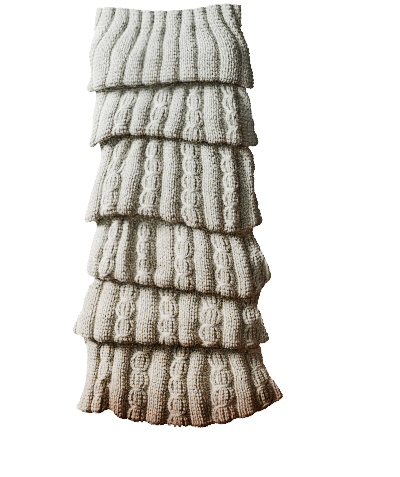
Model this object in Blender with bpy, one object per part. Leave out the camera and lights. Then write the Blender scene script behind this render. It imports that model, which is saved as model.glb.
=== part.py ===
"""One cable-knit leg warmer, pushed together into six overlapping stretches and laid flat.

The garment is a single knitted tube. Each stretch that shows is one solid: a flattened ring wall that comes
out from under the hem above it and runs down to its own hem. There it turns under, and goes a little way
back up inside.
X runs across the garment, Y up its length, and Z up from the surface it lies on.
"""

import math
from collections import namedtuple

import bpy
import numpy as np

MM = 0.001

# The middle of the garment's outline, which becomes the origin, in the tables' own coordinates
MIDDLE_X_MM = 0.4
MIDDLE_Y_MM = -0.7

# The knitted wall
WALL_MM = 2.6
RIB_HEIGHT_MM = 3.0
LAYER_GAP_MM = 0.45
SIDE_GAP_MM = 2.0

# The turned hem: two walls with a gap, rolled on a half circle
HEM_RADIUS_MM = WALL_MM + LAYER_GAP_MM / 2
RETURN_LENGTH_MM = 18.0
HIDDEN_HEAD_MM = 16.0
INSIDE_HEM_MM = 4.0
TUCK_MM = 2 * (WALL_MM + LAYER_GAP_MM)

# How thick the flattened garment is, over the plain wall without its ribs
FOLDED_HEIGHT_MM = 22.0
LAST_HEIGHT_MM = 15.6
SAGGED_HEIGHT_MM = 10.5
TOP_EDGE_HEIGHT_MM = 6.5
HEM_SLACK_MM = 4.0
SETTLE_MM = 10.0
EXIT_MM = 2.5
FIRST_ROW_MM = 9.0
TOP_EDGE_ROUND_MM = 2.5
BAND_ROW_MM = 7.65
LEAST_ROW_MM = 3.0

# The section across the flattened tube: its front is flat for a share of its half width, and its shoulders
# fall away beyond
FLAT_SHARE = 0.62
SHOULDER_POWER = 1.5
WIDEST_SHARE = 0.4
SECTION_SAMPLES = 240
RIBS_END_SHARE = 0.3
RIBS_FULL_SHARE = 0.65
SIDE_RIB_MM = 0.4
HEM_RIB_MM = 1.2

# A hem's two corners are rounded off over this last share of its half width
CORNER_SHARE = 0.88
CORNER_LIFT_MM = 2.5

# How much of the ribs is left at the top edge, just below a hem, and round the rolled hem at each angle
TOP_EDGE_RIB = 0.55
EXIT_RIB = 0.35
HEM_ROLL = ((45, 1.0), (90, 0.8), (135, 0.25))

# Each knit column has four points across it, and the underside has a few plain ones
COLUMN_OFFSETS = (-0.5, -0.27, 0.0, 0.27)
RIB_PROFILE = (0.0, 0.85, 1.0, 0.85)
OVAL_PROFILE = (0.0, 0.85, 0.95, 0.85)
CROSSING_PROFILE = (0.0, 0.35, 0.75, 0.35)
UNDERSIDE_LINES = 12

WOOL_COLOUR = (0.72, 0.70, 0.63, 1.0)
WOOL_ROUGHNESS = 0.92

# Heights up the garment of the top edge and of each hem, at six shares of its half width
EDGE_SHARES = (-1.0, -0.78, -0.3, 0.3, 0.78, 1.0)
EdgeLine = namedtuple("EdgeLine", "left_end left left_middle right_middle right right_end")
EDGE_LINES_MM = (
    EdgeLine(188.1, 188.1, 185.0, 186.3, 191.3, 190.8),
    EdgeLine(108.9, 113.4, 116.1, 119.3, 117.0, 111.6),
    EdgeLine(59.5, 68.9, 70.9, 65.3, 62.1, 61.5),
    EdgeLine(-7.2, -0.9, -0.9, -11.3, -14.9, -9.0),
    EdgeLine(-52.2, -56.3, -62.6, -68.9, -72.0, -58.5),
    EdgeLine(-104.4, -112.5, -114.8, -117.0, -119.5, -115.0),
    EdgeLine(-174.0, -180.5, -188.6, -190.6, -178.8, -163.8),
)

# The outline of each stretch: how far down it, and the left and right sides there
Side = namedtuple("Side", "share left right")
SIDES_MM = (
    (
        Side(0.0, -74.3, 57.9),
        Side(0.3, -76.5, 58.4),
        Side(0.54, -80.8, 65.1),
        Side(0.68, -78.8, 66.0),
        Side(0.82, -78.5, 69.1),
        Side(0.94, -82.4, 69.6),
    ),
    (
        Side(0.12, -74.3, 66.4),
        Side(0.45, -77.0, 68.6),
        Side(0.7, -77.0, 70.5),
        Side(0.92, -79.9, 73.3),
    ),
    (
        Side(0.09, -70.7, 69.6),
        Side(0.25, -69.8, 70.5),
        Side(0.48, -74.1, 69.6),
        Side(0.64, -77.9, 71.4),
        Side(0.79, -81.5, 74.1),
        Side(0.93, -84.6, 76.8),
    ),
    (
        Side(0.15, -74.1, 69.8),
        Side(0.3, -76.1, 73.8),
        Side(0.5, -78.3, 78.6),
        Side(0.72, -80.2, 82.6),
        Side(0.9, -82.4, 85.9),
    ),
    (
        Side(0.17, -80.5, 75.2),
        Side(0.33, -84.2, 73.2),
        Side(0.53, -86.9, 76.8),
        Side(0.74, -91.4, 79.5),
        Side(0.94, -95.0, 83.0),
    ),
    (
        Side(0.12, -84.2, 77.0),
        Side(0.36, -82.4, 79.0),
        Side(0.6, -83.3, 83.6),
        Side(0.75, -85.8, 88.5),
        Side(0.87, -88.8, 92.6),
        Side(1.0, -93.2, 96.6),
    ),
)

# The knit columns of each stretch: the first and last, counted from the middle one, whether the middle one is
# a cable, how far below the edge above the first cable crossing lies, and how far apart the crossings are
Stretch = namedtuple("Stretch", "name cabled cable_in_middle first last first_crossing crossing_spacing")
STRETCHES = (
    Stretch("ribbed_band", False, False, -6, 5, 0.0, 0.0),
    Stretch("cable_stretch_1", True, False, -5, 5, 9.9, 15.3),
    Stretch("cable_stretch_2", True, False, -5, 5, 2.7, 14.5),
    Stretch("cable_stretch_3", True, False, -6, 5, 13.0, 15.3),
    Stretch("cable_stretch_4", True, True, -5, 5, 12.6, 15.3),
    Stretch("cable_stretch_5", True, False, -5, 6, 11.7, 15.3),
)

# Where three of its columns lie across each stretch, at its top, halfway down and at its hem
MARKED_COLUMNS = (-4, 0, 4)
Columns = namedtuple("Columns", "share fourth_left middle fourth_right")
COLUMNS_MM = (
    (Columns(0.0, -49.9, -2.8, 44.2), Columns(0.5, -64.8, -6.2, 63.8), Columns(1.0, -70.6, -7.5, 66.9)),
    (Columns(0.0, -53.9, 5.0, 58.4), Columns(0.5, -58.3, -0.5, 62.3), Columns(1.0, -65.1, -5.9, 65.0)),
    (Columns(0.0, -61.6, -5.9, 60.8), Columns(0.5, -70.5, -6.3, 62.5), Columns(1.0, -77.8, -7.7, 65.9)),
    (Columns(0.0, -64.7, -11.8, 50.9), Columns(0.5, -70.2, -11.8, 58.6), Columns(1.0, -75.6, -12.2, 62.6)),
    (Columns(0.0, -74.2, -8.6, 64.4), Columns(0.5, -79.7, -7.8, 66.2), Columns(1.0, -81.5, -6.1, 68.5)),
    (Columns(0.0, -73.4, -11.6, 50.0), Columns(0.5, -78.2, -17.7, 59.0), Columns(1.0, -83.2, -20.2, 64.8)),
)

# The largest troughs in the fronts: the stretch, where it starts and ends down the stretch and across the
# garment, how wide and deep it is, and how far it lifts the hem below it
Trough = namedtuple("Trough", "stretch from_share to_share from_x to_x width depth hem_lift")
TROUGHS_MM = (
    Trough(1, 0.0, 0.7, 56.0, 61.0, 10.0, 2.4, 0.0),
    Trough(2, 0.1, 0.5, -42.0, -53.0, 6.0, 1.6, 0.0),
    Trough(2, 0.0, 1.0, 57.0, 61.0, 9.0, 2.4, 0.0),
    Trough(3, 0.0, 0.95, -37.0, -39.5, 9.0, 1.6, 0.0),
    Trough(3, 0.0, 0.75, -31.0, -30.0, 22.0, 2.4, 0.0),
    Trough(3, 0.0, 0.5, 66.0, 74.0, 10.0, 2.0, 0.0),
    Trough(4, 0.0, 0.5, 62.0, 68.0, 10.0, 2.2, 0.0),
    Trough(5, 0.6, 1.0, -64.0, -61.0, 8.0, 1.8, 4.8),
    Trough(5, 0.3, 0.95, 27.0, 28.0, 8.0, 1.8, 0.0),
    Trough(5, 0.2, 0.95, -31.0, -30.0, 20.0, 2.0, 0.0),
)
TROUGH_FLATTENS = 0.7
TROUGH_FADE = 4.0

Size = namedtuple("Size", "left right low high")
Row = namedtuple("Row", "down inset relief roll crossed")


def eased(share):
    """A share from 0 to 1 with a soft start and end."""
    share = np.clip(share, 0.0, 1.0)
    return share * share * (3.0 - 2.0 * share)


def blend(start, end, share):
    return start + (end - start) * share


def smooth_line(places, values, at):
    """Reads a smooth line through the given values, with the slope at each taken from its neighbours."""
    places = np.array(places)
    values = np.array(values)
    slopes = np.gradient(values, places)
    at = np.clip(at, places[0], places[-1])
    cell = np.clip(np.searchsorted(places, at) - 1, 0, len(places) - 2)
    width = places[cell + 1] - places[cell]
    t = (at - places[cell]) / width
    rise = values[cell + 1] - values[cell]
    start = slopes[cell] * width
    end = slopes[cell + 1] * width
    return values[cell] + t * start + t * t * (3 * rise - 2 * start - end) + t**3 * (start + end - 2 * rise)


def middle_of(edge):
    return (edge.left_middle + edge.right_middle) / 2


def length_of(number):
    """How long a stretch is from the edge above it to its own hem, along its middle."""
    return middle_of(EDGE_LINES_MM[number]) - middle_of(EDGE_LINES_MM[number + 1])


def side_size(number, share):
    """The plain wall's left and right sides, inside the ribs that the outline runs over."""
    rows = SIDES_MM[number]
    shares = [row.share for row in rows]
    left = np.interp(share, shares, [row.left for row in rows]) + SIDE_RIB_MM
    right = np.interp(share, shares, [row.right for row in rows]) - SIDE_RIB_MM
    return left, right


def hill(distance, width):
    """A smooth bump, 1 in its middle and near 0 beyond its width."""
    return np.exp(-((distance / (width / 2)) ** 2))


def edge_height(number, x, left, right):
    """The height up the garment of an edge line at x, inside the ribs of a hem and with its corners round."""
    share = (x - (left + right) / 2) / ((right - left) / 2)
    height = smooth_line(EDGE_SHARES, EDGE_LINES_MM[number], share)
    if number == 0:
        return height
    corner = np.clip((np.abs(share) - CORNER_SHARE) / (1 - CORNER_SHARE), 0.0, 1.0)
    height = height + CORNER_LIFT_MM * corner**2
    for trough in TROUGHS_MM:
        if trough.stretch == number - 1:
            height = height + trough.hem_lift * hill(x - trough.to_x, 2 * trough.width)
    return height + HEM_RIB_MM


def trough_depth(number, share, x):
    """How far the troughs press each point of a ring in, and how much of its ribs they leave."""
    pressed = np.zeros(len(x))
    left_over = np.ones(len(x))
    for trough in TROUGHS_MM:
        if trough.stretch != number:
            continue
        along = (share - trough.from_share) / (trough.to_share - trough.from_share)
        middle = blend(trough.from_x, trough.to_x, along)
        to_the_hem = 1.0 if trough.hem_lift else 0.5
        fade = eased(along * TROUGH_FADE + 0.5) * eased((1 - along) * TROUGH_FADE + to_the_hem)
        bump = fade * hill(x - middle, trough.width)
        pressed += trough.depth * bump
        left_over *= 1 - TROUGH_FLATTENS * bump
    return pressed, left_over


def full_height(number, down):
    """The top of the flattened wall: low where two layers lie alone, high over the turned hem."""
    length = length_of(number)
    last = number == len(STRETCHES) - 1
    over_hem = LAST_HEIGHT_MM if last else FOLDED_HEIGHT_MM
    start = TOP_EDGE_HEIGHT_MM if number == 0 else FOLDED_HEIGHT_MM - TUCK_MM - HEM_SLACK_MM
    settled = 2 * SETTLE_MM if number == 0 else SETTLE_MM
    rise_end = length - RETURN_LENGTH_MM
    if down < settled:
        return blend(start, SAGGED_HEIGHT_MM, eased(down / settled))
    return blend(SAGGED_HEIGHT_MM, over_hem, eased((down - settled) / (rise_end - settled)))


def hidden_size(number, above):
    """The part of a stretch that lies inside the hem above it."""
    upper = size_at(number - 1, length_of(number - 1) - above)
    side = TUCK_MM + SIDE_GAP_MM
    high = upper.high - TUCK_MM - HEM_SLACK_MM
    return Size(upper.left + side, upper.right - side, upper.low + TUCK_MM, high)


def size_at(number, down):
    """The flattened wall's sides, underside and top at a distance below the edge above it."""
    if number > 0 and down < 0:
        return hidden_size(number, -down)
    left, right = side_size(number, down / length_of(number))
    if number == 0:
        return Size(left, right, 0.0, full_height(number, down))
    head = hidden_size(number, 0.0)
    out = eased(down / FIRST_ROW_MM)
    low = blend(head.low, 0.0, eased((down - EXIT_MM / 2) / SETTLE_MM))
    return Size(blend(head.left, left, out), blend(head.right, right, out), low, full_height(number, down))


def section(size):
    """The flattened ring as closely spaced points, from its left side over the top and back beneath."""
    widest = size.low + WIDEST_SHARE * (size.high - size.low)
    middle = (size.left + size.right) / 2
    half = (size.right - size.left) / 2
    corner = widest - size.low
    across = -np.cos(np.linspace(0.0, math.pi, SECTION_SAMPLES))
    shoulder = np.clip((np.abs(across) - FLAT_SHARE) / (1 - FLAT_SHARE), 0.0, 1.0)
    up = (1 - shoulder**SHOULDER_POWER) ** (1 / SHOULDER_POWER)
    turn = np.linspace(0.0, math.pi / 2, SECTION_SAMPLES // 4)
    flat = np.linspace(size.right - corner, size.left + corner, SECTION_SAMPLES // 4)
    x = [middle + half * across, size.right - corner + corner * np.cos(turn[1:]), flat[1:]]
    z = [widest + (size.high - widest) * up, widest - corner * np.sin(turn[1:])]
    z.append(np.full(len(flat) - 1, size.low))
    x.append(size.left + corner - corner * np.sin(turn[1:]))
    z.append(widest - corner * np.cos(turn[1:]))
    return np.concatenate(x), np.concatenate(z)


def inset_size(size, inset):
    return Size(size.left + inset, size.right - inset, size.low + inset, size.high - inset)


def column_lines(stretch):
    """Where the mesh's lines lie on the front, counted in columns from the middle one."""
    columns = range(stretch.first, stretch.last + 1)
    lines = [column + offset for column in columns for offset in COLUMN_OFFSETS]
    return np.array(lines + [stretch.last + 0.5])


def column_arcs(number, share, columns, x, arc):
    """How far along a section each column lies, through the marked columns and evenly on past them."""
    rows = COLUMNS_MM[number]
    shares = [row.share for row in rows]
    share = np.clip(share, 0.0, 1.0)
    marks = [smooth_line(shares, places, share) for places in list(zip(*rows))[1:]]
    marked = np.interp(marks, x[:SECTION_SAMPLES], arc[:SECTION_SAMPLES])
    pitch = (marked[-1] - marked[0]) / (MARKED_COLUMNS[-1] - MARKED_COLUMNS[0])
    inside = np.clip(columns, MARKED_COLUMNS[0], MARKED_COLUMNS[-1])
    return smooth_line(MARKED_COLUMNS, marked, inside) + pitch * (columns - inside)


def line_places(number, size, share):
    """Where each mesh line crosses a section, as a place along its closely spaced points."""
    x, z = section(size)
    arc = np.concatenate([[0.0], np.cumsum(np.hypot(np.diff(x), np.diff(z)))])
    front = column_arcs(number, share, column_lines(STRETCHES[number]), x, arc)
    steps = (1 - np.cos(np.linspace(0.0, math.pi, UNDERSIDE_LINES + 1)[1:-1])) / 2
    under = blend(front[-1], front[0] + arc[-1], steps)
    return np.interp(np.concatenate([front, under]) % arc[-1], arc, np.arange(len(arc)))


def knit_profile(stretch, crossed):
    """How far each mesh line is raised as a share of a rib's height."""
    heights = []
    for column in range(stretch.first, stretch.last + 1):
        is_cable = stretch.cabled and (column % 2 == 0) == stretch.cable_in_middle
        cable = CROSSING_PROFILE if crossed else OVAL_PROFILE
        heights += cable if is_cable else RIB_PROFILE
    return np.array(heights + [0.0] * UNDERSIDE_LINES)


def ring_points(number, row):
    """One ring of the wall's mesh: its inset from the plain outer wall, its place and its raised columns."""
    stretch = STRETCHES[number]
    share = row.down / length_of(number)
    size = size_at(number, row.down)
    places = line_places(number, size, share)
    x_all, z_all = section(inset_size(size, row.inset))
    index = np.arange(len(x_all))
    x = np.interp(places, index, x_all)
    z = np.interp(places, index, z_all)
    tangent = np.stack([np.gradient(x_all), np.gradient(z_all)])
    tangent /= np.hypot(*tangent)
    out_x = -np.interp(places, index, tangent[1])
    out_z = np.interp(places, index, tangent[0])
    y = row_height(number, row.down, x)
    above_floor = (z - size.low) / (size.high - size.low)
    on_front = eased((above_floor - RIBS_END_SHARE) / (RIBS_FULL_SHARE - RIBS_END_SHARE))
    pressed, left_over = trough_depth(number, share, x)
    ribs = row.relief * RIB_HEIGHT_MM * knit_profile(stretch, row.crossed) * left_over
    raised = on_front * (ribs - pressed * max(0.0, math.cos(row.roll)))
    outward = raised * math.cos(row.roll)
    return np.stack([x + out_x * outward, y - raised * math.sin(row.roll), z + out_z * outward], axis=1)


def row_height(number, down, x):
    """How far up the garment a ring's points lie: along the hem near it, along the edge above near that."""
    length = length_of(number)
    if down < 0:
        left, right = side_size(number - 1, 1.0)
        return edge_height(number, x, left, right) - down
    left, right = side_size(number, 1.0)
    hem = edge_height(number + 1, x, left, right)
    left, right = side_size(max(number - 1, 0), 1.0 if number else 0.0)
    edge = edge_height(number, x, left, right)
    above_hem = length - down
    toward_edge = max(0.0, (above_hem - RETURN_LENGTH_MM) / (length - RETURN_LENGTH_MM))
    return hem + above_hem + toward_edge * (edge - hem - length)


def front_rows(number, start, end):
    """Rings down the ribs, or in the middle of each cable crossing and each oval, as (down, crossed)."""
    stretch = STRETCHES[number]
    if not stretch.cabled:
        count = round((end - start) / BAND_ROW_MM) + 1
        return [(down, False) for down in np.linspace(start, end, count)]
    half = stretch.crossing_spacing / 2
    first = math.ceil((start - stretch.first_crossing) / half)
    beyond = math.ceil((end - LEAST_ROW_MM - stretch.first_crossing) / half)
    rows = [(stretch.first_crossing + step * half, step % 2 == 0) for step in range(first, beyond)]
    return rows + [(end, False)]


def outer_rows(number):
    """The rings down the outside of a stretch, from its upper end to the start of the rolled hem."""
    if number == 0:
        rows = [Row(0.0, 0.0, TOP_EDGE_RIB, 0.0, False), Row(TOP_EDGE_ROUND_MM, 0.0, 1.0, 0.0, False)]
        start = TOP_EDGE_ROUND_MM + BAND_ROW_MM
    else:
        rows = [Row(-HIDDEN_HEAD_MM, 0.0, 0.0, 0.0, False), Row(-INSIDE_HEM_MM, 0.0, 0.0, 0.0, False)]
        rows.append(Row(EXIT_MM, 0.0, EXIT_RIB, 0.0, False))
        start = FIRST_ROW_MM
    end = length_of(number) - HEM_RADIUS_MM
    return rows + [Row(down, 0.0, 1.0, 0.0, crossed) for down, crossed in front_rows(number, start, end)]


def hem_rows(number):
    """The rolled hem and the layer that goes back up inside it."""
    length = length_of(number)
    rows = []
    for degrees, relief in HEM_ROLL:
        roll = math.radians(degrees)
        down = length - HEM_RADIUS_MM * (1 - math.sin(roll))
        rows.append(Row(down, HEM_RADIUS_MM * (1 - math.cos(roll)), relief, roll, False))
    rows.append(Row(length - HEM_RADIUS_MM, 2 * HEM_RADIUS_MM, 0.0, 0.0, False))
    rows.append(Row(length - RETURN_LENGTH_MM, 2 * HEM_RADIUS_MM, 0.0, 0.0, False))
    rows.append(Row(length - RETURN_LENGTH_MM, WALL_MM + LAYER_GAP_MM, 0.0, 0.0, False))
    rows.append(Row(length - WALL_MM, HEM_RADIUS_MM, 0.0, 0.0, False))
    return rows


def inner_rows(number):
    """The plain inside of the wall, from the hem back to the upper end."""
    inner_end = length_of(number) - RETURN_LENGTH_MM
    settled = 2 * SETTLE_MM if number == 0 else SETTLE_MM
    downs = [inner_end, blend(settled, inner_end, 0.5), settled]
    downs += [0.0] if number == 0 else [EXIT_MM, -INSIDE_HEM_MM, -HIDDEN_HEAD_MM]
    return [Row(down, WALL_MM, 0.0, 0.0, False) for down in downs]


def wall_mesh(number):
    """Joins the rings of one stretch into a closed wall."""
    rows = outer_rows(number) + hem_rows(number) + inner_rows(number)
    rings = [ring_points(number, row) for row in rows]
    lines = len(rings[0])
    points = (np.concatenate(rings) - (MIDDLE_X_MM, MIDDLE_Y_MM, 0.0)) * MM
    faces = []
    for row in range(len(rings)):
        below = (row + 1) % len(rings)
        for line in range(lines):
            beside = (line + 1) % lines
            corners = [(row, line), (below, line), (below, beside), (row, beside)]
            faces.append([ring * lines + place for ring, place in corners])
    mesh = bpy.data.meshes.new(STRETCHES[number].name)
    mesh.from_pydata([tuple(point) for point in points], [], faces)
    mesh.shade_smooth()
    mesh.set_sharp_from_angle(angle=math.radians(60))
    return mesh


def wool(name):
    """Undyed cream wool blend, matt and soft."""
    material = bpy.data.materials.new(name)
    material.use_nodes = True
    surface = material.node_tree.nodes["Principled BSDF"]
    surface.inputs["Base Color"].default_value = WOOL_COLOUR
    surface.inputs["Roughness"].default_value = WOOL_ROUGHNESS
    surface.inputs["Metallic"].default_value = 0.0
    return material


def clear_scene():
    for item in list(bpy.data.objects):
        bpy.data.objects.remove(item, do_unlink=True)


def build():
    clear_scene()
    for number, stretch in enumerate(STRETCHES):
        stretch_object = bpy.data.objects.new(stretch.name, wall_mesh(number))
        stretch_object.data.materials.append(wool(stretch.name + "_wool"))
        bpy.context.scene.collection.objects.link(stretch_object)


build()
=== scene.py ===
import math

import bpy
import numpy as np
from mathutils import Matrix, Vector


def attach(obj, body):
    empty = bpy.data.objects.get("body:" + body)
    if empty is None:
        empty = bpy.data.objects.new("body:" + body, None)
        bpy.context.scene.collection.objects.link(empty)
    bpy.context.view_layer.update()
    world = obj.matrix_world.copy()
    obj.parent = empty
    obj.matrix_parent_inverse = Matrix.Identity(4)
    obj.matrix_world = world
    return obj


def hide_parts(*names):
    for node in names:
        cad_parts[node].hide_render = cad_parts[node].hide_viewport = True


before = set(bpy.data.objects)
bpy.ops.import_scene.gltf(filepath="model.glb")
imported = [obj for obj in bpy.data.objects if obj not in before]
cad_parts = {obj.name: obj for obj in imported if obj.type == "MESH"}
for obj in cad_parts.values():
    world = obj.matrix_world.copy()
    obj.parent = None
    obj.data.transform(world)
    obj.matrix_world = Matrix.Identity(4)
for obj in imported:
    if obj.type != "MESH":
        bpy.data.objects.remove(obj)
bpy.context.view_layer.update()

mm = 0.001
rng = np.random.default_rng(11)

# The garment: one knitted tube pushed together into six stretches. Sizes in millimetres.
cloth = {
    "wall": 2.6,            # plain fabric between the ribs
    "gap": 0.45,            # between layers that lie on each other
    "sideGap": 2.0,         # more room at the sides of an end that lies inside a hem
    "returnLength": 18.0,   # how far a turned hem goes back up inside
    "headLength": 16.0,     # how far a stretch goes up inside the hem above it
    "insideHem": 4.0,       # its relief begins this far up inside that hem
    "foldedHeight": 22.0,   # six layers over a hem
    "lastHeight": 15.6,     # four layers over the lowest hem
    "saggedHeight": 10.5,   # two layers between hems
    "topEdgeHeight": 6.5,   # the open top of the band
    "slack": 4.0,           # room over the layers inside a hem
    "settle": 10.0,         # how far below a hem the cloth takes to sag
    "exit": 2.5,            # where it has come out from under the hem
    "firstRow": 9.0,        # where it has its full width and relief
    "sideRib": 0.4,         # the plain cloth keeps this far inside the outline, for the relief on it
    "hemRib": 1.2,          # and this far above a hem's line
    "cornerShare": 0.88,    # a hem's corners are rounded off beyond this share of its half width
    "cornerLift": 0.5,      # and rise this much at their ends
    "widestShare": 0.4,     # the section is widest this share of its height up
    "flatShare": 0.62,      # the front is flat this far from its middle, and its shoulders fall away beyond
    "shoulderPower": 1.5,
    "sectionSamples": 240,
    "middleX": 0.4,         # the origin, in the tables' own coordinates
    "middleY": -0.7,
}
hemRadius = cloth["wall"] + cloth["gap"] / 2
tuck = 2 * (cloth["wall"] + cloth["gap"])

# Ribs and cables. Widths are shares of the spacing of the columns, heights and lengths are millimetres.
knit = {
    "ribHeight": 3.6,
    "ribRoundness": 0.7,
    "ribsEndShare": 0.3,        # on the section's sides: no relief below this share of its height
    "ribsFullShare": 0.85,      # and all of it above this one
    "reliefFrom": 0.4,          # a stretch's relief goes over to its hem's from this share of the way down
    "topEdgeRelief": 0.55,      # what it keeps at the band's top edge and where a stretch comes out
    "exitRelief": 0.35,
    "hemTurns": (0, 45, 90, 135, 180),
    "hemRelief": (1.0, 0.75, 0.4, 0.2, 0.0),        # what it keeps at those degrees round a hem
    "lastHemRelief": (1.0, 0.6, 0.3, 0.1, 0.0),

    "firstCable": -3,           # the columns further left show no cables
    "cableRise": 0.9,           # a cable's mound, beside a rib's
    "cableDip": 0.16,           # and how far it dips at a crossing
    "cableNarrow": 0.40,        # its half width at a crossing
    "cableWide": 0.50,          # and in an oval
    "strandTight": 0.16,        # a strand's offset, in the same way
    "strandOpen": 0.25,
    "waleTight": 0.075,         # half the distance between a strand's two wales
    "waleOpen": 0.138,
    "pointed": 1.1,             # how pointed the ovals are
    "swap": 0.4,                # share of the wave in which the strands change places
    "over": 0.3,                # the strand on top rises this much there, and the other sinks
    "under": 0.8,
    "backing": 0.8,             # the plain fabric lies this far under the stitches
    "cableBacking": 1.6,        # and further under a cable

    "linesPerColumn": 12,
    "undersideLines": 26,
    "topEdgeRuns": (0.0, 0.8, 1.7),     # closer rings at the top edge
    "exitRuns": (-1.5, 0.0, 1.2),       # and where a stretch comes out
    "stationSpacing": 1.9,
    "hemSteps": 8,
    "gridSpacing": 1.1,
    "crossingStep": 1.5,
    "creaseFlattens": 0.7,      # a narrow crease takes this much of the relief, and a wide one less
    "narrowCrease": 8.0,
    "creaseFade": 4.0,          # at each end a crease fades over its length divided by this
}

# One stitch: two yarn legs in a V. Points run up the leg: along in rows, across in stitch widths, lift and
# radius in millimetres.
stitch = {
    "rowPitch": 3.1,
    "hemLength": 0.55,          # a row's length round a hem, as a share of that
    "topRow": 1.5,              # the band's first row, and the first of the others, just under the hem above
    "hiddenRow": -0.5,
    "lastTurn": 2.5,            # the rows end this far round a hem, in radians
    "ribWidth": 0.46,           # a stitch's width on a rib, as a share of the rib's half width
    "strandWidth": 0.15,        # and on a strand, as a share of the spacing of the columns
    "ribWales": (-0.72, -0.24, 0.24, 0.72),
    "along": (0.66, 0.32, -0.04, -0.40, -0.74),
    "across": (0.07, 0.17, 0.26, 0.33, 0.40),
    "lift": (-1.05, 0.10, 0.60, 0.25, -1.15),
    "thick": (0.4, 0.9, 1.12, 0.98, 0.45),
    "radius": 0.72,
    "flatness": 0.78,
    "sides": 5,
    "runSlack": 0.22,           # hand-knit unevenness: along the run, across, up and in thickness
    "acrossSlack": 0.006,
    "liftSlack": 0.06,
    "thickSlack": 0.05,
    "facingDown": -0.35,        # yarns that face further down are left out, unless they are on a hem
    "facingHem": 0.3,
}

# Purl bars across the valleys, two to a row
purl = {
    "across": (-0.14, -0.075, 0.0, 0.075, 0.14),
    "along": (0.16, 0.03, -0.02, -0.05, -0.16),
    "lift": (-0.25, 0.25, 0.42, 0.25, -0.25),
    "thick": (0.7, 1.0, 1.0, 1.0, 0.7),
    "radius": 0.56,
    "runSlack": 0.2,
    "acrossSlack": 0.006,
}

edgeShares = (-1.0, -0.78, -0.3, 0.3, 0.78, 1.0)
# Heights up the garment of the top edge and of the six hems, at those shares of their half width
edgeLines = (
    (188.1, 188.1, 185.0, 186.3, 191.3, 190.8),
    (108.9, 113.4, 116.1, 119.3, 117.0, 111.6),
    (58.0, 68.3, 70.9, 65.3, 62.1, 60.0),
    (-10.0, -1.8, -0.9, -11.3, -14.9, -10.5),
    (-56.5, -57.5, -62.6, -68.9, -72.0, -61.0),
    (-109.0, -112.5, -114.8, -117.0, -119.5, -116.5),
    (-178.0, -180.5, -188.6, -190.6, -177.5, -167.5),
)

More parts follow.
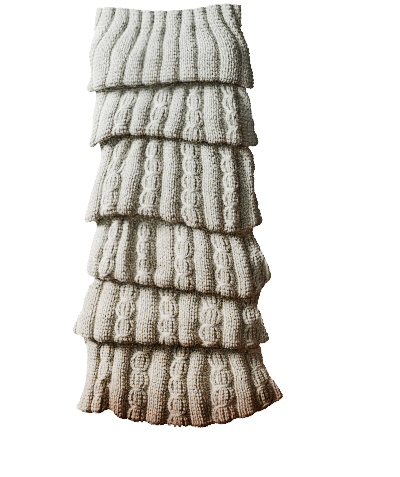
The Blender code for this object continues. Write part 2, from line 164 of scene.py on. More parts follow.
# Each stretch: its node, the width and squareness of its ribs, their relief at its middle and at its hem,
# the columns it is made with, a height at which each cable crosses and how far apart the crossings are, how
# far the painted brown shade along its hem reaches and how strong it is, its outline as share, left and
# right, and where its columns lie across the front at shares down it, counted from firstPlace
stretches = (
    {"node": "ribbed_band", "ribHalfWidth": 0.465, "ribPower": 3.0,
     "relief": (1.0, 0.75), "cabled": False, "cableInMiddle": False, "columns": (-6, 5),
     "crossings": (), "crossingSpacing": 15.3, "hemPaintedShade": (5.0, 0.2),
     "sides": ((0.0, -74.3, 57.9), (0.3, -76.5, 58.4), (0.54, -80.8, 65.1),
               (0.68, -78.8, 66.0), (0.82, -78.5, 69.1), (0.94, -82.4, 69.6)),
     "firstPlace": -4.5,
     "places": ((0.0, (-56.2, -43.6, -31.9, -21.9, -9.5, 4.0, 14.3, 24.4, 37.6)),
                (0.25, (-60.8, -45.5, -33.3, -22.4, -11.0, 2.7, 15.2, 27.9, 43.2)),
                (0.5, (-72.9, -56.8, -38.9, -27.0, -13.6, 1.2, 16.9, 34.5, 54.0)),
                (0.75, (-75.6, -59.9, -45.5, -30.6, -14.2, 1.4, 17.4, 36.8, 56.4)),
                (1.0, (-76.0, -65.2, -49.3, -32.6, -16.1, 1.0, 17.6, 37.6, 57.1)))},
    {"node": "cable_stretch_1", "ribHalfWidth": 0.44, "ribPower": 2.2,
     "relief": (0.95, 0.95), "cabled": True, "cableInMiddle": False, "columns": (-5, 5),
     "crossings": (94.5, 96.8, 93.6, 90.9, 90.9), "crossingSpacing": 15.3, "hemPaintedShade": (6.0, 0.25),
     "sides": ((0.12, -74.3, 66.4), (0.45, -77.0, 68.6), (0.7, -77.0, 70.5), (0.92, -79.9, 73.3)),
     "firstPlace": -3,
     "places": ((0.0, (-39.8, -25.7, -10.3, 5.0, 16.5, 29.0, 47.5, 58.4)),
                (0.5, (-45.2, -32.1, -14.7, -0.5, 15.3, 31.1, 50.9, 62.3)),
                (1.0, (-51.3, -37.5, -20.1, -5.9, 13.7, 34.5, 53.0, 65.0)))},
    {"node": "cable_stretch_2", "ribHalfWidth": 0.44, "ribPower": 2.0,
     "relief": (1.3, 1.3), "cabled": True, "cableInMiddle": False, "columns": (-5, 5),
     "crossings": (35.6, 35.6, 35.6, 35.6, 35.6), "crossingSpacing": 14.8, "hemPaintedShade": (9.0, 0.3),
     "sides": ((0.09, -70.7, 69.6), (0.25, -69.8, 70.5), (0.48, -74.1, 69.6),
               (0.64, -77.9, 71.4), (0.79, -81.5, 74.1), (0.93, -84.6, 76.8)),
     "firstPlace": -4,
     "places": ((0.0, (-61.6, -46.4, -31.9, -20.2, -5.9, 11.7, 27.4, 46.4, 60.8)),
                (0.5, (-70.5, -55.4, -41.0, -22.1, -6.3, 12.2, 30.6, 48.4, 62.5)),
                (1.0, (-77.8, -62.6, -46.4, -25.2, -7.7, 14.0, 34.2, 48.7, 65.9)))},
    {"node": "cable_stretch_3", "ribHalfWidth": 0.44, "ribPower": 2.0,
     "relief": (1.3, 1.3), "cabled": True, "cableInMiddle": False, "columns": (-6, 5),
     "crossings": (-23.4, -23.4, -23.4, -33.3, -33.3), "crossingSpacing": 15.3, "hemPaintedShade": (9.0, 0.3),
     "sides": ((0.15, -74.1, 69.8), (0.3, -76.1, 73.8), (0.5, -78.3, 78.6),
               (0.72, -80.2, 82.6), (0.9, -82.4, 85.9)),
     "firstPlace": -4,
     "places": ((0.0, (-64.7, -53.3, -42.9, -26.6, -11.8, 6.2, 18.2, 35.6, 50.9, 62.9)),
                (0.5, (-70.2, -58.1, -46.2, -28.7, -11.8, 6.2, 22.9, 41.0, 58.6, 71.5)),
                (1.0, (-75.6, -66.9, -47.7, -29.8, -12.2, 6.2, 24.8, 43.8, 62.6, 74.2)))},
    {"node": "cable_stretch_4", "ribHalfWidth": 0.44, "ribPower": 2.0,
     "relief": (1.15, 1.15), "cabled": True, "cableInMiddle": True, "columns": (-5, 5),
     "crossings": (-92.7, -92.3, -84.2, -84.2), "crossingSpacing": 15.3, "hemPaintedShade": (8.0, 0.55),
     "sides": ((0.17, -80.5, 75.2), (0.33, -84.2, 73.2), (0.53, -86.9, 76.8),
               (0.74, -91.4, 79.5), (0.94, -95.0, 83.0)),
     "firstPlace": -4,
     "places": ((0.0, (-74.2, -59.0, -42.8, -25.7, -8.6, 9.9, 30.6, 48.1, 64.4)),
                (0.5, (-79.7, -63.5, -45.9, -27.4, -7.8, 8.7, 30.6, 49.1, 66.2)),
                (1.0, (-81.5, -68.1, -48.6, -27.9, -6.1, 8.6, 29.2, 50.0, 68.5)))},
    {"node": "cable_stretch_5", "ribHalfWidth": 0.44, "ribPower": 2.0,
     "relief": (1.3, 1.35), "cabled": True, "cableInMiddle": False, "columns": (-5, 6),
     "crossings": (-147.6, -141.3, -147.2, -139.1, -139.1), "crossingSpacing": 16.2, "hemPaintedShade": (42.0, 1.0),
     "sides": ((0.12, -84.2, 77.0), (0.36, -82.4, 79.0), (0.6, -83.3, 83.6),
               (0.75, -85.8, 88.5), (0.87, -88.8, 92.6), (1.0, -93.2, 96.6)),
     "firstPlace": -4,
     "places": ((0.0, (-73.4, -62.2, -48.6, -30.7, -11.6, 3.9, 19.4, 34.1, 50.0, 67.4)),
                (0.5, (-78.2, -65.9, -52.9, -35.0, -17.7, 0.8, 15.8, 40.1, 59.0, 73.2)),
                (1.0, (-83.2, -72.5, -53.6, -37.4, -20.2, -0.6, 21.6, 43.2, 64.8, 79.7)))},
)

# Creases: stretch, from and to as shares down it, from and to across in mm, width, depth, and
# how far it lifts the hem
creases = (
    (1, 0.0, 1.0, 58.0, 65.0, 12.0, 4.5, 0.0),
    (2, 0.1, 0.5, -42.0, -53.0, 6.0, 1.6, 0.0),
    (2, 0.0, 1.0, 57.0, 61.0, 11.0, 4.8, 0.0),
    (3, 0.0, 0.95, -38.0, -40.5, 9.0, 2.4, 0.0),
    (3, 0.0, 0.85, -20.0, -18.0, 26.0, 6.0, 0.0),
    (3, 0.0, 1.0, 72.0, 84.0, 24.0, 5.5, 0.0),
    (4, 0.0, 1.0, 70.0, 76.0, 24.0, 5.0, 0.0),
    (4, 0.3, 0.45, 22.0, 44.0, 6.0, 0.8, 0.0),
    (5, 0.6, 1.0, -64.0, -61.0, 8.0, 2.2, 4.8),
    (5, 0.3, 0.95, 27.0, 28.0, 8.0, 2.0, 0.0),
    (5, 0.2, 0.95, -31.0, -30.0, 20.0, 2.6, 0.0),
    (5, 0.0, 1.0, 71.0, 88.0, 24.0, 3.5, 0.0),
)


def eased(share):
    share = np.clip(share, 0.0, 1.0)
    return share * share * (3.0 - 2.0 * share)


def blend(start, end, share):
    return start + (end - start) * share


def hill(distance, width):
    return np.exp(-((distance / (width / 2)) ** 2))


# A smooth line through given values, with each slope taken from the neighbours
def smoothLine(places, values, at):
    places = np.array(places)
    values = np.array(values)
    slopes = np.gradient(values, places)
    at = np.clip(at, places[0], places[-1])
    cell = np.clip(np.searchsorted(places, at) - 1, 0, len(places) - 2)
    width = places[cell + 1] - places[cell]
    t = (at - places[cell]) / width
    rise = values[cell + 1] - values[cell]
    start = slopes[cell] * width
    end = slopes[cell + 1] * width
    return values[cell] + t * start + t * t * (3 * rise - 2 * start - end) + t**3 * (start + end - 2 * rise)


# A stretch's length down its middle
def lengthOf(number):
    upper = edgeLines[number]
    lower = edgeLines[number + 1]
    return (upper[2] + upper[3] - lower[2] - lower[3]) / 2


def sidesAt(number, share):
    shares, lefts, rights = zip(*stretches[number]["sides"])
    left = np.interp(share, shares, lefts) + cloth["sideRib"]
    right = np.interp(share, shares, rights) - cloth["sideRib"]
    return left, right


# Height up the garment of an edge line at x. A hem's corners are rounded off.
def edgeHeight(number, x, left, right):
    share = (x - (left + right) / 2) / ((right - left) / 2)
    height = smoothLine(edgeShares, edgeLines[number], share)
    if number == 0:
        return height
    corner = np.clip((np.abs(share) - cloth["cornerShare"]) / (1 - cloth["cornerShare"]), 0.0, 1.0)
    height = height + cloth["cornerLift"] * corner**2
    for stretch, _, _, _, toX, width, _, lift in creases:
        if stretch == number - 1:
            height = height + lift * hill(x - toX, 2 * width)
    return height + cloth["hemRib"]


# How high the tube stands down a stretch: it sags between the hems and rises over what lies inside its own
def fullHeight(number, down):
    overHem = cloth["lastHeight"] if number == len(stretches) - 1 else cloth["foldedHeight"]
    start = cloth["topEdgeHeight"] if number == 0 else cloth["foldedHeight"] - tuck - cloth["slack"]
    settled = 2 * cloth["settle"] if number == 0 else cloth["settle"]
    riseEnd = lengthOf(number) - cloth["returnLength"]
    if down < settled:
        return blend(start, cloth["saggedHeight"], eased(down / settled))
    return blend(cloth["saggedHeight"], overHem, eased((down - settled) / (riseEnd - settled)))


# What lies inside the hem above: left, right, low and high of the flattened tube
def hiddenSize(number, above):
    left, right, low, high = sizeAt(number - 1, lengthOf(number - 1) - above)
    side = tuck + cloth["sideGap"]
    return left + side, right - side, low + tuck + cloth["gap"], high - tuck - cloth["slack"]


def sizeAt(number, down):
    if number > 0 and down < 0:
        return hiddenSize(number, -down)
    left, right = sidesAt(number, down / lengthOf(number))
    if number == 0:
        return left, right, 0.0, fullHeight(number, down)
    head = hiddenSize(number, 0.0)
    out = eased(down / cloth["firstRow"])
    low = blend(head[2], 0.0, eased((down - cloth["exit"] / 2) / cloth["settle"]))
    return blend(head[0], left, out), blend(head[1], right, out), low, fullHeight(number, down)


# The flattened tube's section, closely spaced, from its left side over the top and back beneath
def section(left, right, low, high):
    samples = cloth["sectionSamples"]
    widest = low + cloth["widestShare"] * (high - low)
    corner = widest - low
    across = -np.cos(np.linspace(0.0, math.pi, samples))
    shoulder = np.clip((np.abs(across) - cloth["flatShare"]) / (1 - cloth["flatShare"]), 0.0, 1.0)
    up = (1 - shoulder ** cloth["shoulderPower"]) ** (1 / cloth["shoulderPower"])
    turn = np.linspace(0.0, math.pi / 2, samples // 4)[1:]
    flat = np.linspace(right - corner, left + corner, samples // 4)[1:]
    x = [(left + right) / 2 + (right - left) / 2 * across, right - corner + corner * np.cos(turn), flat,
         left + corner - corner * np.sin(turn)]
    z = [widest + (high - widest) * up, widest - corner * np.sin(turn), np.full(len(flat), low),
         widest - corner * np.cos(turn)]
    return np.concatenate(x), np.concatenate(z)


# Where a ring of the tube lies: down from the edge above, up from the hem, inset from the outside, and how
# far round the hem it has rolled
def ringAt(number, run):
    start = lengthOf(number) - hemRadius
    if run <= start:
        return {"down": run, "above": lengthOf(number) - run, "inset": 0.0, "roll": 0.0}
    roll = min((run - start) / hemRadius, math.pi)
    above = hemRadius * (1 - math.sin(roll)) + max(0.0, run - start - math.pi * hemRadius)
    inset = hemRadius * (1 - math.cos(roll))
    return {"down": lengthOf(number) - above, "above": above, "inset": inset, "roll": roll}


def ringHeight(number, ring, x):
    length = lengthOf(number)
    if ring["down"] < 0:
        return edgeHeight(number, x, *sidesAt(max(number - 1, 0), 1.0)) - ring["down"]
    hem = edgeHeight(number + 1, x, *sidesAt(number, 1.0))
    edge = edgeHeight(number, x, *sidesAt(max(number - 1, 0), 1.0 if number else 0.0))
    upper = max(0.0, (ring["above"] - cloth["returnLength"]) / (length - cloth["returnLength"]))
    return hem + ring["above"] + upper * (edge - hem - length)


# Each column's place along a section, read from the listed places and carried on evenly past them
def columnArcs(number, down, columns, x, arc):
    part = stretches[number]
    shares, rows = zip(*part["places"])
    share = np.clip(down / lengthOf(number), 0.0, 1.0)
    across = np.array([smoothLine(shares, places, share) for places in zip(*rows)])
    over = cloth["sectionSamples"]
    listed = np.interp(across, x[:over], arc[:over])
    pitch = (listed[-1] - listed[0]) / (len(listed) - 1)
    count = np.clip(columns - part["firstPlace"], 0, len(listed) - 1)
    beyond = columns - part["firstPlace"] - count
    return np.interp(count, np.arange(len(listed)), listed) + pitch * beyond


# One ring's plain points, the way out of the cloth at each, how far each lies on the ribbed front, and how
# far a crease can press it before the layers meet
def ringPoints(number, ring, columns, underside=0):
    size = sizeAt(number, ring["down"])
    x, z = section(*size)
    arc = np.concatenate([[0.0], np.cumsum(np.hypot(np.diff(x), np.diff(z)))])
    places = columnArcs(number, ring["down"], columns, x, arc)
    if underside:
        steps = (1 - np.cos(np.linspace(0.0, math.pi, underside + 2)[1:-1])) / 2
        places = np.concatenate([places, blend(places[-1], places[0] + arc[-1], steps)])
    places = np.interp(places % arc[-1], arc, np.arange(len(arc)))
    index = np.arange(len(x))
    inset = ring["inset"]
    x, z = section(size[0] + inset, size[1] - inset, size[2] + inset, size[3] - inset)
    along = np.stack([np.gradient(x), np.gradient(z)])
    along /= np.hypot(*along)
    px, pz = np.interp(places, index, x), np.interp(places, index, z)
    out = np.stack([-np.interp(places, index, along[1]), np.interp(places, index, along[0])])
    out /= np.hypot(*out)
    points = np.stack([px, ringHeight(number, ring, px), pz], axis=1)
    cosine, sine = math.cos(ring["roll"]), math.sin(ring["roll"])
    outward = np.stack([out[0] * cosine, np.full(len(px), -sine), out[1] * cosine], axis=1)
    share = (pz - size[2]) / (size[3] - size[2])
    front = eased((share - knit["ribsEndShare"]) / (knit["ribsFullShare"] - knit["ribsEndShare"]))
    room = np.maximum(0.0, pz + inset - size[2] - 2 * cloth["wall"] - cloth["gap"])
    return points, outward, front, room


# How much relief the ribs keep at a run along the cloth: less at the top edge and under a hem, and none once
# their own hem has turned under
def reliefAt(number, run):
    start = lengthOf(number) - hemRadius
    if number == 0:
        shown = np.interp(run, (0.0, cloth["exit"]), (knit["topEdgeRelief"], 1.0))
    else:
        places = (-cloth["insideHem"], cloth["exit"], cloth["firstRow"])
        shown = np.interp(run, places, (0.0, knit["exitRelief"], 1.0))
    turned = (run - start) / hemRadius
    kept = knit["lastHemRelief"] if number == len(stretches) - 1 else knit["hemRelief"]
    strength = np.interp(run / start, (knit["reliefFrom"], 1.0), stretches[number]["relief"])
    return strength * shown * np.interp(turned, np.radians(knit["hemTurns"]), kept)


# Each column wanders slowly to the sides, in shares of its width, and is unevenly full: how much, and over
# what length, in two waves each
uneven = {
    "columns": 24,
    "firstColumn": -8,
    "wander": ((0.035, 9.0), (0.02, 4.1)),
    "fullness": ((0.10, 7.0), (0.05, 3.3)),
}
phases = {number: rng.uniform(0.0, 2 * math.pi, (uneven["columns"], 4)) for number in range(len(stretches))}


def wavesOf(waves, firstPhase, level, number, column, run):
    phase = phases[number][np.asarray(column).astype(int) - uneven["firstColumn"]]
    for place, (height, length) in enumerate(waves, firstPhase):
        level = level + height * np.sin(run / length + phase[..., place])
    return level


def wanderOf(number, column, run):
    return wavesOf(uneven["wander"], 0, 0.0, number, column, run)


def fullnessOf(number, column, run):
    return wavesOf(uneven["fullness"], 2, 1.0, number, column, run)


# A rib's rounded height across it
def dome(number, offset, halfWidth):
    inside = np.clip(1.0 - (np.abs(offset) / halfWidth) ** stretches[number]["ribPower"], 0.0, 1.0)
    return knit["ribHeight"] * inside ** knit["ribRoundness"]


def isCable(number, column):
    part = stretches[number]
    even = np.asarray(column) % 2 == 0
    return part["cabled"] & (even == part["cableInMiddle"]) & (column >= knit["firstCable"])


# How many crossings below the measured one each cable is at a run along the cloth, read from its height
def makeCrossings(number):
    part = stretches[number]
    first, last = part["columns"]
    cables = [column for column in range(first, last + 1) if isCable(number, column)]
    runs = np.arange(-cloth["insideHem"], lengthOf(number) - hemRadius, knit["crossingStep"])
    columns = np.array(cables, float)
    heights = np.array([ringPoints(number, ringAt(number, run), columns)[0][:, 1] for run in runs]).T
    turns = {column: (part["crossings"][place] - heights[place]) / part["crossingSpacing"]
             for place, column in enumerate(cables)}
    return runs, turns


def turnsAt(number, column, run):
    runs, turns = crossingTables[number]
    line = turns[int(column)]
    past = np.maximum(0.0, run - runs[-1]) / stretches[number]["crossingSpacing"]
    return np.interp(run, runs, line) + past


# A cable's two strands swap sides at each crossing: one strand's place across its column, how open the cable
# is there, and the strand's lift. The strand that goes to the left passes over.
def strandAt(number, column, run, strand):
    turn = math.pi * (turnsAt(number, column, run) + 0.5)
    wave = np.cos(turn) * (1 if strand == 0 else -1)
    opened = np.abs(wave) ** knit["pointed"]
    side = np.sin(math.pi / 2 * np.clip(wave / knit["swap"], -1.0, 1.0))
    goingLeft = np.sin(turn) * (1 if strand == 0 else -1) > 0
    lift = (1 - side * side) * np.where(goingLeft, knit["over"], -knit["under"])
    return side * blend(knit["strandTight"], knit["strandOpen"], opened), opened, lift


def cableMound(number, offset, opened):
    rise = knit["cableRise"] * (1 - knit["cableDip"] * (1 - opened) ** 2)
    return rise * dome(number, offset, blend(knit["cableNarrow"], knit["cableWide"], opened))


# How deep the creases press at places across a ring, and how much relief they leave. Each fades at its ends,
# but stays whole up to a hem that it lifts.
def creasesAt(number, share, x):
    pressed, left = np.zeros(np.shape(x)), np.ones(np.shape(x))
    for stretch, fromShare, toShare, fromX, toX, width, depth, lift in creases:
        if stretch == number:
            along = (share - fromShare) / (toShare - fromShare)
            toHem = 1.0 if lift else 0.5
            fade = eased(along * knit["creaseFade"] + 0.5) * eased((1 - along) * knit["creaseFade"] + toHem)
            bump = fade * hill(x - blend(fromX, toX, along), width)
            pressed = pressed + depth * bump
            left = left * (1 - knit["creaseFlattens"] * min(1.0, knit["narrowCrease"] / width) * bump)
    return pressed, left


# The plain fabric's relief under the stitches: ribs as rounded cords, cables as mounds
def reliefOf(number, columns, run):
    column = np.clip(np.round(columns), *stretches[number]["columns"])
    offset = columns - column + wanderOf(number, column, run)
    fullness = fullnessOf(number, column, run)
    relief = dome(number, offset, stretches[number]["ribHalfWidth"]) * fullness - knit["backing"]
    for cable in np.unique(column):
        if isCable(number, cable):
            here = column == cable
            opened = strandAt(number, cable, run, 0)[1]
            relief[here] = cableMound(number, offset[here], opened) * fullness[here] - knit["cableBacking"]
    return np.maximum(0.0, relief)


# How near each point is to its stretch's hem, from which a painted brown shade along the hems is read. The
# painted shade is weaker at the left, the side the key light faces.
paintedHemShadeLook = {"paleTo": -90.0, "paleOver": 25.0, "paleShare": 0.2}


def addPaintedHemShade(piece, number, runs):
    front = lengthOf(number) - hemRadius + hemRadius * math.pi / 2
    reach, strength = stretches[number]["hemPaintedShade"]
    places = np.array([vertex.co.x for vertex in piece.data.vertices]) / mm
    shade = strength * np.clip(1.0 - (front - runs.ravel()) / reach, 0.0, 1.0)
    shade *= blend(paintedHemShadeLook["paleShare"], 1.0, eased((places - paintedHemShadeLook["paleTo"]) / paintedHemShadeLook["paleOver"]))
    attribute = piece.data.attributes.new("painted_hem_shade", "FLOAT", "POINT")
    attribute.data.foreach_set("value", shade.astype(np.float32))


def makeMesh(name, points, faces):
    mesh = bpy.data.meshes.new(name)
    corners = np.concatenate([face.ravel() for face in faces]).astype(np.int32)
    sizes = np.concatenate([np.full(len(face), face.shape[1]) for face in faces])
    starts = np.concatenate([[0], np.cumsum(sizes)[:-1]]).astype(np.int32)
    mesh.vertices.add(len(points))
    mesh.vertices.foreach_set("co", (points * mm).astype(np.float32).ravel())
    mesh.loops.add(len(corners))
    mesh.loops.foreach_set("vertex_index", corners)
    mesh.polygons.add(len(sizes))
    mesh.polygons.foreach_set("loop_start", starts)
    mesh.update(calc_edges=True)
    mesh.polygons.foreach_set("use_smooth", np.full(len(sizes), True))
    mesh.validate()
    piece = bpy.data.objects.new(name, mesh)
    bpy.context.scene.collection.objects.link(piece)
    return piece


def columnLines(number):
    first, last = stretches[number]["columns"]
    return np.arange((last - first + 1) * knit["linesPerColumn"] + 1) / knit["linesPerColumn"] + first - 0.5


# The rings down a stretch's outside, round its hem and up its return, as (ring, run), then back along its
# inside, where they have no run
def wallRings(number):
    length = lengthOf(number)
    start = length - hemRadius
    steps = knit["hemSteps"]
    if number == 0:
        runs = list(knit["topEdgeRuns"])
    else:
        runs = [-cloth["headLength"], -cloth["insideHem"], *knit["exitRuns"]]
    stations = round((start - cloth["exit"]) / knit["stationSpacing"]) + 1
    runs += list(np.linspace(cloth["exit"], start, stations))
    runs += [start + hemRadius * math.pi * step / steps for step in range(1, steps + 1)]
    runs.append(start + hemRadius * (math.pi - 1) + cloth["returnLength"])
    rings = [(ringAt(number, run), run) for run in runs]
    wall, gap = cloth["wall"], cloth["gap"]
    settled = 2 * cloth["settle"] if number == 0 else cloth["settle"]
    downs = [length - cloth["returnLength"], blend(settled, length - cloth["returnLength"], 0.5), settled]
    downs += [0.0] if number == 0 else [cloth["exit"], -cloth["insideHem"], -cloth["headLength"]]
    inner = [(length - cloth["returnLength"], wall + gap), (length - wall, hemRadius)]
    inner += [(down, wall) for down in downs]
    for down, inset in inner:
        rings.append(({"down": down, "above": length - down, "inset": inset, "roll": 0.0}, None))
    return rings


# A stretch's fabric: one closed wall through all its rings
def makeWall(number):
    lines = columnLines(number)
    rows, runs = [], []
    for ring, run in wallRings(number):
        points, outward, front, room = ringPoints(number, ring, lines, knit["undersideLines"])
        runs.append(np.full(len(points), ring["down"] if run is None else run))
        ribbed = np.s_[: len(lines)]
        pressed, left = creasesAt(number, ring["down"] / lengthOf(number), points[ribbed, 0])
        pressed = np.minimum(pressed, room[ribbed])
        height = 0.0 if run is None else reliefOf(number, lines, run) * left * reliefAt(number, run)
        raised = (height - pressed * math.cos(ring["roll"])) * front[ribbed]
        points[ribbed] += outward[ribbed] * raised[:, None]
        rows.append(points)
    count = len(rows[0])
    points = np.concatenate(rows) - (cloth["middleX"], cloth["middleY"], 0.0)
    row = np.arange(len(rows))[:, None]
    line = np.arange(count)[None, :]
    here, below = row * count, (row + 1) % len(rows) * count
    beside = (line + 1) % count
    quads = np.stack([here + line, below + line, below + beside, here + beside], axis=2)
    fabric = makeMesh(stretches[number]["node"] + "_fabric", points, [quads.reshape(-1, 4)])
    addPaintedHemShade(fabric, number, np.concatenate(runs))
    return fabric


# A fine grid of the plain outside, which the stitches are seated on
def outsideGrid(number):
    length = lengthOf(number)
    first = -cloth["insideHem"] if number else 0.0
    runs = np.arange(first, length - hemRadius + math.pi * hemRadius, knit["gridSpacing"])
    lines = columnLines(number)
    rings = [ringPoints(number, ringAt(number, run), lines) for run in runs]
    points, outward, front, room = (np.array(part) for part in zip(*rings))
    return {"runs": runs, "lines": lines, "points": points, "outward": outward, "front": front, "room": room}


# The cell a value lies in and its share of the way through it, kept short of the last line
def cellOf(value, lines):
    return np.clip(np.interp(value, lines, np.arange(len(lines))), 0, len(lines) - 1.001)


def readGrid(grid, columns, run):
    i, j = cellOf(run, grid["runs"]), cellOf(columns, grid["lines"])
    i0, j0 = i.astype(int), j.astype(int)
    fi, fj = i - i0, j - j0
    found = []
    for part in (grid["points"], grid["outward"], grid["front"], grid["room"]):
        shape = fi.shape + (1,) * (part.ndim - 2)
        a, b = fi.reshape(shape), fj.reshape(shape)
        upper = part[i0, j0] * (1 - b) + part[i0, j0 + 1] * b
        lower = part[i0 + 1, j0] * (1 - b) + part[i0 + 1, j0 + 1] * b
        found.append(upper * (1 - a) + lower * a)
    return found


# Seats the middle lines of many short yarns, given as columns and runs, on the cloth at their own heights
def seatYarns(number, grid, columns, run, height, lift):
    points, outward, front, room = readGrid(grid, columns, run)
    share = run / lengthOf(number)
    pressed, left = creasesAt(number, share, points[..., 0])
    pressed = np.minimum(pressed, room)
    turned = np.cos(np.clip((run - lengthOf(number) + hemRadius) / hemRadius, 0.0, math.pi))
    raised = (height * left * reliefAt(number, run) - pressed * turned) * front + lift
    return points + outward * raised[..., None], outward


# Round yarn along each middle line, closed at both ends: points are (yarns, points, 3)
def yarnTubes(middles, outward, radius, flatness, sides):
    yarns, steps = middles.shape[:2]
    along = np.gradient(middles, axis=1)
    along /= np.linalg.norm(along, axis=2, keepdims=True)
    across = np.cross(along, outward)
    across /= np.linalg.norm(across, axis=2, keepdims=True)
    up = np.cross(across, along)
    angle = 2 * math.pi * np.arange(sides) / sides
    ring = across[:, :, None] * np.cos(angle)[:, None] + up[:, :, None] * np.sin(angle)[:, None] * flatness
    points = middles[:, :, None] + ring * radius[..., None, None]
    yarn = np.arange(yarns)[:, None, None] * steps * sides
    step = np.arange(steps - 1)[None, :, None] * sides
    side = np.arange(sides)[None, None, :]
    beside = (side + 1) % sides
    quads = np.stack([yarn + step + side, yarn + step + beside, yarn + step + sides + beside,
                      yarn + step + sides + side], axis=3).reshape(-1, 4)
    ends = yarn[:, :, 0] + np.arange(sides)[None, ::-1]
    others = yarn[:, :, 0] + (steps - 1) * sides + np.arange(sides)[None, :]
    points = points.reshape(-1, 3) - (cloth["middleX"], cloth["middleY"], 0.0)
    return points, [quads, np.concatenate([ends, others])]


# The rows of stitches down the cloth, and how long each is. Round the hem they are closer, because its
# outside spreads them again.
def stitchRows(number):
    start = lengthOf(number) - hemRadius
    flat = np.arange(stitch["topRow"] if number == 0 else stitch["hiddenRow"], start, stitch["rowPitch"])
    pitch = stitch["rowPitch"] * stitch["hemLength"]
    first = flat[-1] + (stitch["rowPitch"] + pitch) / 2
    rolled = np.arange(first, start + stitch["lastTurn"] * hemRadius, pitch)
    reach = np.concatenate([np.ones(len(flat)), np.full(len(rolled), stitch["hemLength"])])
    return np.concatenate([flat, rolled]), reach[:, None]


# A column's wales: four across a rib, or two on each strand of a cable
def walesOf(number, column):
    if not isCable(number, column):
        return [(None, wale) for wale in stitch["ribWales"]]
    return [(strand, side) for strand in (0, 1) for side in (-1, 1)]


# Where a wale's yarn lies across its column, and how high it stands there
def seatOf(number, column, run, strand, wale, offset):
    if strand is None:
        halfWidth = stretches[number]["ribHalfWidth"]
        across = wale * halfWidth + offset
        return across, dome(number, across, halfWidth)
    place, opened, lift = strandAt(number, column, run, strand)
    across = place + wale * blend(knit["waleTight"], knit["waleOpen"], opened) + offset
    return across, cableMound(number, across, opened) + lift


# Every knit stitch's two legs on the ribs and strands of one stretch
def knitLegs(number, grid):
    first, last = stretches[number]["columns"]
    rows, reach = stitchRows(number)
    halfWidth = stretches[number]["ribHalfWidth"]
    along = np.array(stitch["along"]) * stitch["rowPitch"]
    yarns = []
    for column in range(first, last + 1):
        for strand, wale in walesOf(number, column):
            width = stitch["strandWidth"] if strand is not None else stitch["ribWidth"] * halfWidth
            for side in (-1, 1):
                slack = rng.normal(0.0, 1.0, (len(rows), 3))
                run = rows[:, None] + (along + stitch["runSlack"] * slack[:, :1]) * reach
                offset = side * np.array(stitch["across"]) * width + stitch["acrossSlack"] * slack[:, 1:2]
                place, height = seatOf(number, column, run, strand, wale, offset)
                columns = column + place - wanderOf(number, column, run)
                height = height * fullnessOf(number, column, run)
                raised = np.array(stitch["lift"]) + stitch["liftSlack"] * slack[:, 2:3]
                middle, out = seatYarns(number, grid, columns, run, height, raised)
                thick = 1 + stitch["thickSlack"] * slack[:, 1:2]
                radius = stitch["radius"] * np.array(stitch["thick"]) * thick
                yarns.append((middle, out, radius, run))
    return [np.concatenate(group) for group in zip(*yarns)]


# The purl bars that show like ladder rungs in the valleys
def purlBars(number, grid):
    first, last = stretches[number]["columns"]
    rows = stitchRows(number)[0]
    rows = np.concatenate([rows, rows + stitch["rowPitch"] / 2])
    yarns = []
    for column in range(first, last):
        slack = rng.normal(0.0, 1.0, (len(rows), 2))
        along = np.array(purl["along"]) * stitch["rowPitch"]
        run = rows[:, None] + along + purl["runSlack"] * slack[:, :1]
        columns = column + 0.5 + np.array(purl["across"]) + purl["acrossSlack"] * slack[:, 1:2]
        flat = np.zeros(run.shape)
        middle, out = seatYarns(number, grid, columns, run, flat, flat + purl["lift"])
        yarns.append((middle, out, flat + purl["radius"] * np.array(purl["thick"]), run))
    return [np.concatenate(group) for group in zip(*yarns)]


def makeStitches(number):
    grid = outsideGrid(number)
    pairs = zip(knitLegs(number, grid), purlBars(number, grid))
    middles, outs, radii, runs = (np.concatenate(pair) for pair in pairs)
    onHem = np.abs(outs[:, :, 1]) > stitch["facingHem"]
    shown = np.all((outs[:, :, 2] > stitch["facingDown"]) | onHem, axis=1)
    shown &= np.all(middles[:, :, 2] > stitch["radius"], axis=1)
    points, faces = yarnTubes(middles[shown], outs[shown], radii[shown], stitch["flatness"], stitch["sides"])
    stitches = makeMesh(stretches[number]["node"] + "_stitches", points, faces)
    addPaintedHemShade(stitches, number, np.repeat(runs[shown], stitch["sides"], axis=1))
    return stitches


# An sRGB hex code as linear colour
def linear(code):
    values = [int(code[i:i + 2], 16) / 255 for i in (1, 3, 5)]
    return tuple([v / 12.92 if v <= 0.04045 else ((v + 0.055) / 1.055) ** 2.4 for v in values] + [1.0])


def addNode(tree, kind, settings=None, values=None, links=None):
    node = tree.nodes.new(kind)
    for name, value in (settings or {}).items():
        setattr(node, name, value)
    for name, value in (values or {}).items():
        node.inputs[name].default_value = value
    for name, socket in (links or {}).items():
        tree.links.new(socket, node.inputs[name])
    return node


# Woollen-spun cream yarn, knitted: matt, with loose fibres that soften its edges and slightly uneven dye.
# Its colour also holds painted shade: warmer towards the bottom, and brown along the hems.
yarnLook = {
    # cool is the yarn's own cream; warm is a painted warm shade for its lower part; hem is a painted brown
    # shade along the hems
    "cool": "#dbdcd3", "warm": "#d9cdb9", "hem": "#a07e68",
    "warmFrom": 0.16, "warmTo": -0.22,      # up the garment in metres: cool cream above, painted warm shade below
    "roughness": 0.9, "sheen": 0.10, "sheenRoughness": 0.5, "specular": 0.18,
    "patchMm": 14.0, "patchDetail": 3.0, "patchTint": (0.9, 1.06),
    "fibreMm": 0.45, "fibreDetail": 4.0, "fibreRoughness": 0.65, "fibreTint": (0.86, 1.1),
    "noiseRange": (0.3, 0.7),
    "bump": 0.3, "bumpMm": 0.3,
    "glow": 0.25, "glowMm": 1.0,            # light goes a little way into the yarn and softens it
}


# A noise's middle range as a factor on the yarn's brightness
def addTint(tree, noise, look, tint):
    low, high = look["noiseRange"]
    return addNode(tree, "ShaderNodeMapRange",
                   values={"From Min": low, "From Max": high, "To Min": tint[0], "To Max": tint[1]},
                   links={"Value": noise.outputs["Fac"]})


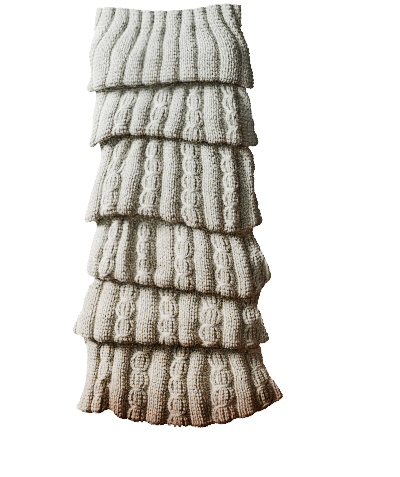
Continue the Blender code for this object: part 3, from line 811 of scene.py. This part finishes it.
def makeYarnMaterial(name, look):
    material = bpy.data.materials.new(name)
    material.use_nodes = True
    tree = material.node_tree
    tree.nodes.clear()
    place = addNode(tree, "ShaderNodeTexCoord")
    spot = addNode(tree, "ShaderNodeSeparateXYZ", links={"Vector": place.outputs["Object"]})
    # Painted warm shade: the colour warms down the garment, in place of warm light bounced up from below
    down = addNode(tree, "ShaderNodeMapRange", {"interpolation_type": "SMOOTHSTEP"},
                   {"From Min": look["warmFrom"], "From Max": look["warmTo"]}, {"Value": spot.outputs["Y"]})
    patches = addNode(tree, "ShaderNodeTexNoise",
                      values={"Scale": 1 / (look["patchMm"] * mm), "Detail": look["patchDetail"]},
                      links={"Vector": place.outputs["Object"]})
    fibres = addNode(tree, "ShaderNodeTexNoise",
                     values={"Scale": 1 / (look["fibreMm"] * mm), "Detail": look["fibreDetail"],
                             "Roughness": look["fibreRoughness"]},
                     links={"Vector": place.outputs["Object"]})
    base = addNode(tree, "ShaderNodeMix", {"data_type": "RGBA"},
                   {"A": linear(look["cool"]), "B": linear(look["warm"])},
                   {"Factor": down.outputs["Result"]})
    # Painted brown shade along the hems, mixed into the yarn's colour
    hem = addNode(tree, "ShaderNodeAttribute", {"attribute_name": "painted_hem_shade"})
    shaded = addNode(tree, "ShaderNodeMix", {"data_type": "RGBA"}, {"B": linear(look["hem"])},
                     {"Factor": hem.outputs["Fac"], "A": base.outputs["Result"]})
    tint = addTint(tree, patches, look, look["patchTint"])
    fleck = addTint(tree, fibres, look, look["fibreTint"])
    both = addNode(tree, "ShaderNodeMath", {"operation": "MULTIPLY"})
    tree.links.new(tint.outputs["Result"], both.inputs[0])
    tree.links.new(fleck.outputs["Result"], both.inputs[1])
    colour = addNode(tree, "ShaderNodeHueSaturation",
                     links={"Color": shaded.outputs["Result"], "Value": both.outputs["Value"]})
    bump = addNode(tree, "ShaderNodeBump",
                   values={"Strength": look["bump"], "Distance": look["bumpMm"] * mm},
                   links={"Height": fibres.outputs["Fac"]})
    surface = addNode(tree, "ShaderNodeBsdfPrincipled",
                      values={"Roughness": look["roughness"], "Sheen Weight": look["sheen"],
                              "Sheen Roughness": look["sheenRoughness"],
                              "Specular IOR Level": look["specular"],
                              "Subsurface Weight": look["glow"], "Subsurface Scale": look["glowMm"] * mm,
                              "Subsurface Radius": (1.0, 1.0, 1.0)},
                      links={"Base Color": colour.outputs["Color"], "Normal": bump.outputs["Normal"]})
    addNode(tree, "ShaderNodeOutputMaterial", links={"Surface": surface.outputs["BSDF"]})
    return material


# The stage: matt pale paper and soft light from the upper left, as in the photo
floorLook = {"size": 30.0, "height": -0.0005, "colour": "#f4f4f2", "roughness": 0.9, "glow": 20.0}
sky = {"colour": "#e2e2ce", "strength": 0.10}
lights = {
    "key": {"power": 38.0, "size": (0.25, 0.25), "place": (-1.0, 0.42, 0.46), "aim": (0, 0, 0),
            "colour": "#fbfdfc"},
    "fill": {"power": 4.5, "size": (0.9, 0.9), "place": (-0.6, 0.55, 0.9), "aim": (0, 0, 0),
             "colour": "#f4f6f2"},
    "warm_bounce": {"power": 0.55, "size": (0.3, 0.3), "place": (0.36, -0.45, 0.14), "aim": (0, -0.1, 0),
                    "colour": "#e0a482"},
}


def addLight(name, look):
    lamp = bpy.data.lights.new(name, "AREA")
    lamp.shape = "RECTANGLE"
    lamp.energy = look["power"]
    lamp.size, lamp.size_y = look["size"]
    lamp.color = linear(look["colour"])[:3]
    holder = bpy.data.objects.new(name, lamp)
    holder.location = look["place"]
    holder.rotation_euler = (Vector(look["aim"]) - Vector(look["place"])).to_track_quat("-Z", "Y").to_euler()
    bpy.context.scene.collection.objects.link(holder)


def makeStage():
    bpy.ops.mesh.primitive_plane_add(size=floorLook["size"], location=(0, 0, floorLook["height"]))
    floor = bpy.context.object
    floor.name = "floor"
    material = bpy.data.materials.new("matt_pale_paper")
    material.use_nodes = True
    surface = material.node_tree.nodes["Principled BSDF"]
    surface.inputs["Base Color"].default_value = linear(floorLook["colour"])
    surface.inputs["Roughness"].default_value = floorLook["roughness"]
    surface.inputs["Emission Color"].default_value = (1.0, 1.0, 1.0, 1.0)
    surface.inputs["Emission Strength"].default_value = floorLook["glow"]
    floor.data.materials.append(material)
    # The glow shows the paper white behind the garment, as in the photo, and lights nothing
    floor.visible_diffuse = False
    floor.visible_glossy = False
    for name, look in lights.items():
        addLight(name, look)
    world = bpy.data.worlds.new("studio")
    world.use_nodes = True
    background = world.node_tree.nodes["Background"]
    background.inputs["Color"].default_value = linear(sky["colour"])
    background.inputs["Strength"].default_value = sky["strength"]
    bpy.context.scene.world = world


# The photo looks straight down on the garment: 0.9 mm of it to each of the photo's pixels
view = {
    "centreX": 20.25, "centreY": -22.05,    # the photo's middle, in the tables' own coordinates
    "height": 1000.0, "above": 14.0,        # over a plane this far up, where a pixel is measured
    "pixel": 0.9, "tall": 477, "sensor": 36.0,
}


def makeCamera():
    data = bpy.data.cameras.new("camera")
    data.sensor_width = view["sensor"]
    data.lens = view["sensor"] * view["height"] / (view["pixel"] * view["tall"])
    camera = bpy.data.objects.new("camera", data)
    camera.location = ((view["centreX"] - cloth["middleX"]) * mm, (view["centreY"] - cloth["middleY"]) * mm,
                       (view["height"] + view["above"]) * mm)
    bpy.context.scene.collection.objects.link(camera)
    bpy.context.scene.camera = camera
    bpy.context.scene.view_settings.view_transform = "AgX"          # highlights roll off softly, as on film
    bpy.context.scene.view_settings.look = "AgX - High Contrast"


crossingTables = {number: makeCrossings(number) for number, part in enumerate(stretches) if part["cabled"]}
makeCamera()
makeStage()
print("stage and camera made")
wool = makeYarnMaterial("knitted_wool_yarn", yarnLook)
for number, part in enumerate(stretches):
    node = part["node"]
    fabric = makeWall(number)
    stitches = makeStitches(number)
    for piece in (fabric, stitches):
        piece.data.materials.append(wool)
        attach(piece, "root")
    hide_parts(node)
    print(node, "made:", len(stitches.data.polygons), "yarn faces")
